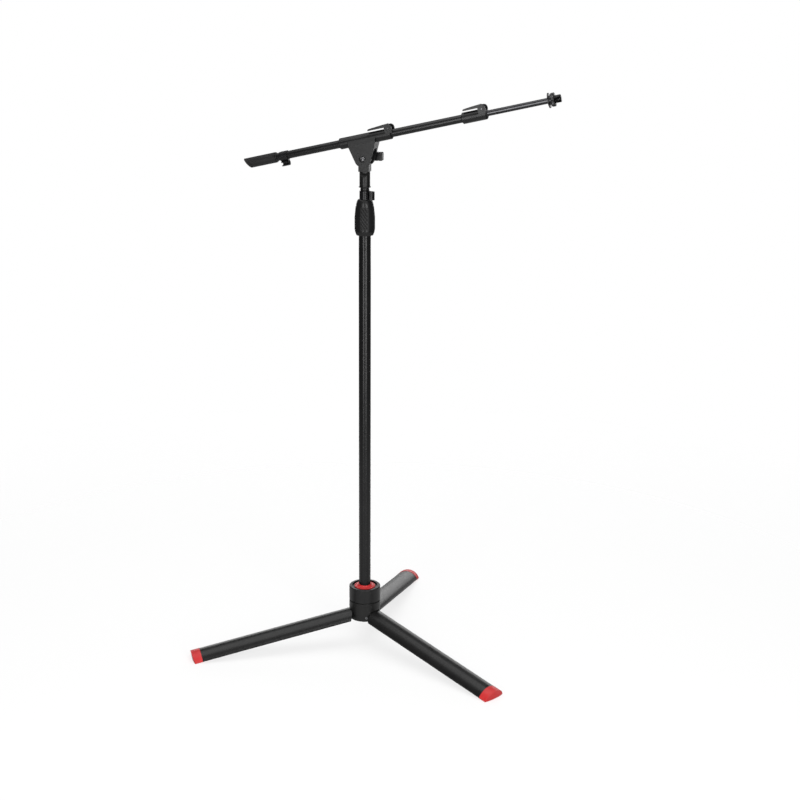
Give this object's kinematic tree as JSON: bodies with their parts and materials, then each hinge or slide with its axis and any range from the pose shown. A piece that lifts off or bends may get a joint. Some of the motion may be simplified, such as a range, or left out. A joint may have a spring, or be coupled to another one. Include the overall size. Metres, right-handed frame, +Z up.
{
  "type": "boom microphone stand",
  "caption": "Floor microphone stand with a folding tripod base, telescoping mast and a telescoping boom on a tilting clutch.",
  "frame": {"origin": "on the floor, where the mast's axis meets it", "axes": "+Z up along the mast, +X the way the boom points, +Y along the boom's tilt pivot"},
  "size_m": [0.7474, 0.6057, 1.2177],
  "materials": {
    "black_steel": "satin powder coat",
    "black_alloy": "satin black coating",
    "black_cast": "fine textured black coating on a casting",
    "black_plastic": "fine moulded grain",
    "clip_plastic": "smooth moulded",
    "black_rubber": "matte, ribbed",
    "red_rubber": "satin moulded rubber",
    "nylon": "smooth bearing plastic",
    "steel": "dull zinc plating",
    "bright_steel": "bright plating",
    "thread_steel": "blackened machined thread",
    "black_chrome": "dark glossy plating"
  },
  "bodies": {
    "base": {"hub_housing": "black_cast", "hub_screws": "steel", "leg_pins": "steel", "hub_ring": "red_rubber", "pole": "black_steel", "pole_plug": "black_plastic", "clutch_base": "black_plastic", "clutch_collet": "nylon"},
    "lock_collar": {"lock_collar": "black_plastic"},
    "leg_right": {"leg_right_shell": "black_alloy", "leg_right_knuckle": "black_plastic", "leg_right_foot": "red_rubber"},
    "leg_left": {"leg_left_shell": "black_alloy", "leg_left_knuckle": "black_plastic", "leg_left_foot": "red_rubber"},
    "leg_rear": {"leg_rear_shell": "black_alloy", "leg_rear_knuckle": "black_plastic", "leg_rear_foot": "red_rubber"},
    "clutch_grip": {"clutch_grip": "black_plastic", "clutch_grip_pads": "black_rubber"},
    "mast": {"mast_tube": "black_chrome", "mast_guide": "nylon", "mast_socket": "black_cast", "mast_washer": "black_plastic", "swivel_stud": "steel"},
    "mast_clip": {"mast_clip": "clip_plastic"},
    "head": {"neck": "black_cast"},
    "bracket": {"boom_bracket": "black_plastic", "bracket_sleeve": "nylon", "bracket_nose": "nylon", "bracket_lever_pin": "steel", "pivot_bolt": "bright_steel", "pivot_washers": "nylon"},
    "tilt_handle": {"tilt_handle": "black_plastic"},
    "bracket_lever": {"bracket_lever": "black_plastic"},
    "boom": {"boom_tube": "black_steel", "boom_grip": "black_rubber", "boom_grip_band": "black_plastic", "boom_clutch": "black_plastic", "boom_clutch_bush": "nylon", "boom_lever_pin": "steel"},
    "boom_clip": {"boom_clip": "clip_plastic"},
    "boom_lever": {"boom_lever": "black_plastic"},
    "arm": {"arm_tube": "black_chrome", "arm_guide": "nylon", "arm_flange": "black_steel", "mic_stud": "thread_steel"},
    "mic_ring": {"mic_ring": "black_steel"}
  },
  "joints": [
    {"name": "collar_twist", "type": "hinge", "parent": "base", "child": "lock_collar", "pos_m": [0, 0, 0.115], "axis": [0, 0, 1], "range_deg": [0, 30]},
    {"name": "leg_right_fold", "type": "hinge", "parent": "base", "child": "leg_right", "pos_m": [0.01663, -0.0096, 0.07034], "axis": [0.5, 0.866, 0], "range_deg": [0, 79]},
    {"name": "leg_left_fold", "type": "hinge", "parent": "base", "child": "leg_left", "pos_m": [-0.01663, -0.0096, 0.07034], "axis": [0.5, -0.866, 0], "range_deg": [0, 79]},
    {"name": "leg_rear_fold", "type": "hinge", "parent": "base", "child": "leg_rear", "pos_m": [0, 0.0192, 0.07034], "axis": [-1, 0, 0], "range_deg": [0, 79]},
    {"name": "clutch_twist", "type": "hinge", "parent": "base", "child": "clutch_grip", "pos_m": [0, 0, 0.95], "axis": [0, 0, 1], "range_deg": [0, 90]},
    {"name": "mast_slide", "type": "slide", "parent": "base", "child": "mast", "axis": [0, 0, 1], "range_m": [0, 0.58]},
    {"name": "mast_clip_turn", "type": "hinge", "parent": "mast", "child": "mast_clip", "pos_m": [0, 0, 1], "axis": [0, 0, 1], "continuous": true},
    {"name": "head_swivel", "type": "hinge", "parent": "mast", "child": "head", "pos_m": [0, 0, 1.02], "axis": [0, 0, 1], "continuous": true},
    {"name": "boom_tilt", "type": "hinge", "parent": "head", "child": "bracket", "pos_m": [0, 0, 1.076], "axis": [0, -1, 0], "range_deg": [-103, 77]},
    {"name": "tilt_handle_turn", "type": "hinge", "parent": "bracket", "child": "tilt_handle", "pos_m": [0, 0.03, 1.076], "axis": [0, 1, 0], "continuous": true},
    {"name": "bracket_lever_flip", "type": "hinge", "parent": "bracket", "child": "bracket_lever", "pos_m": [0.05125, 0, 1.13853], "axis": [0, 1, 0], "range_deg": [0, 100]},
    {"name": "boom_slide", "type": "slide", "parent": "bracket", "child": "boom", "axis": [0.9744, 0, 0.225], "range_m": [-0.135, 0.105]},
    {"name": "boom_clip_turn", "type": "hinge", "parent": "boom", "child": "boom_clip", "pos_m": [-0.1737, 0, 1.0749], "axis": [0.9744, 0, 0.225], "continuous": true},
    {"name": "boom_lever_flip", "type": "hinge", "parent": "boom", "child": "boom_lever", "pos_m": [0.2432, 0, 1.18285], "axis": [0, 1, 0], "range_deg": [0, 100]},
    {"name": "arm_slide", "type": "slide", "parent": "boom", "child": "arm", "axis": [0.9744, 0, 0.225], "range_m": [-0.12, 0.3]},
    {"name": "mic_ring_turn", "type": "hinge", "parent": "arm", "child": "mic_ring", "pos_m": [0.38461, 0, 1.20379], "axis": [0.9744, 0, 0.225], "continuous": true}
  ]
}
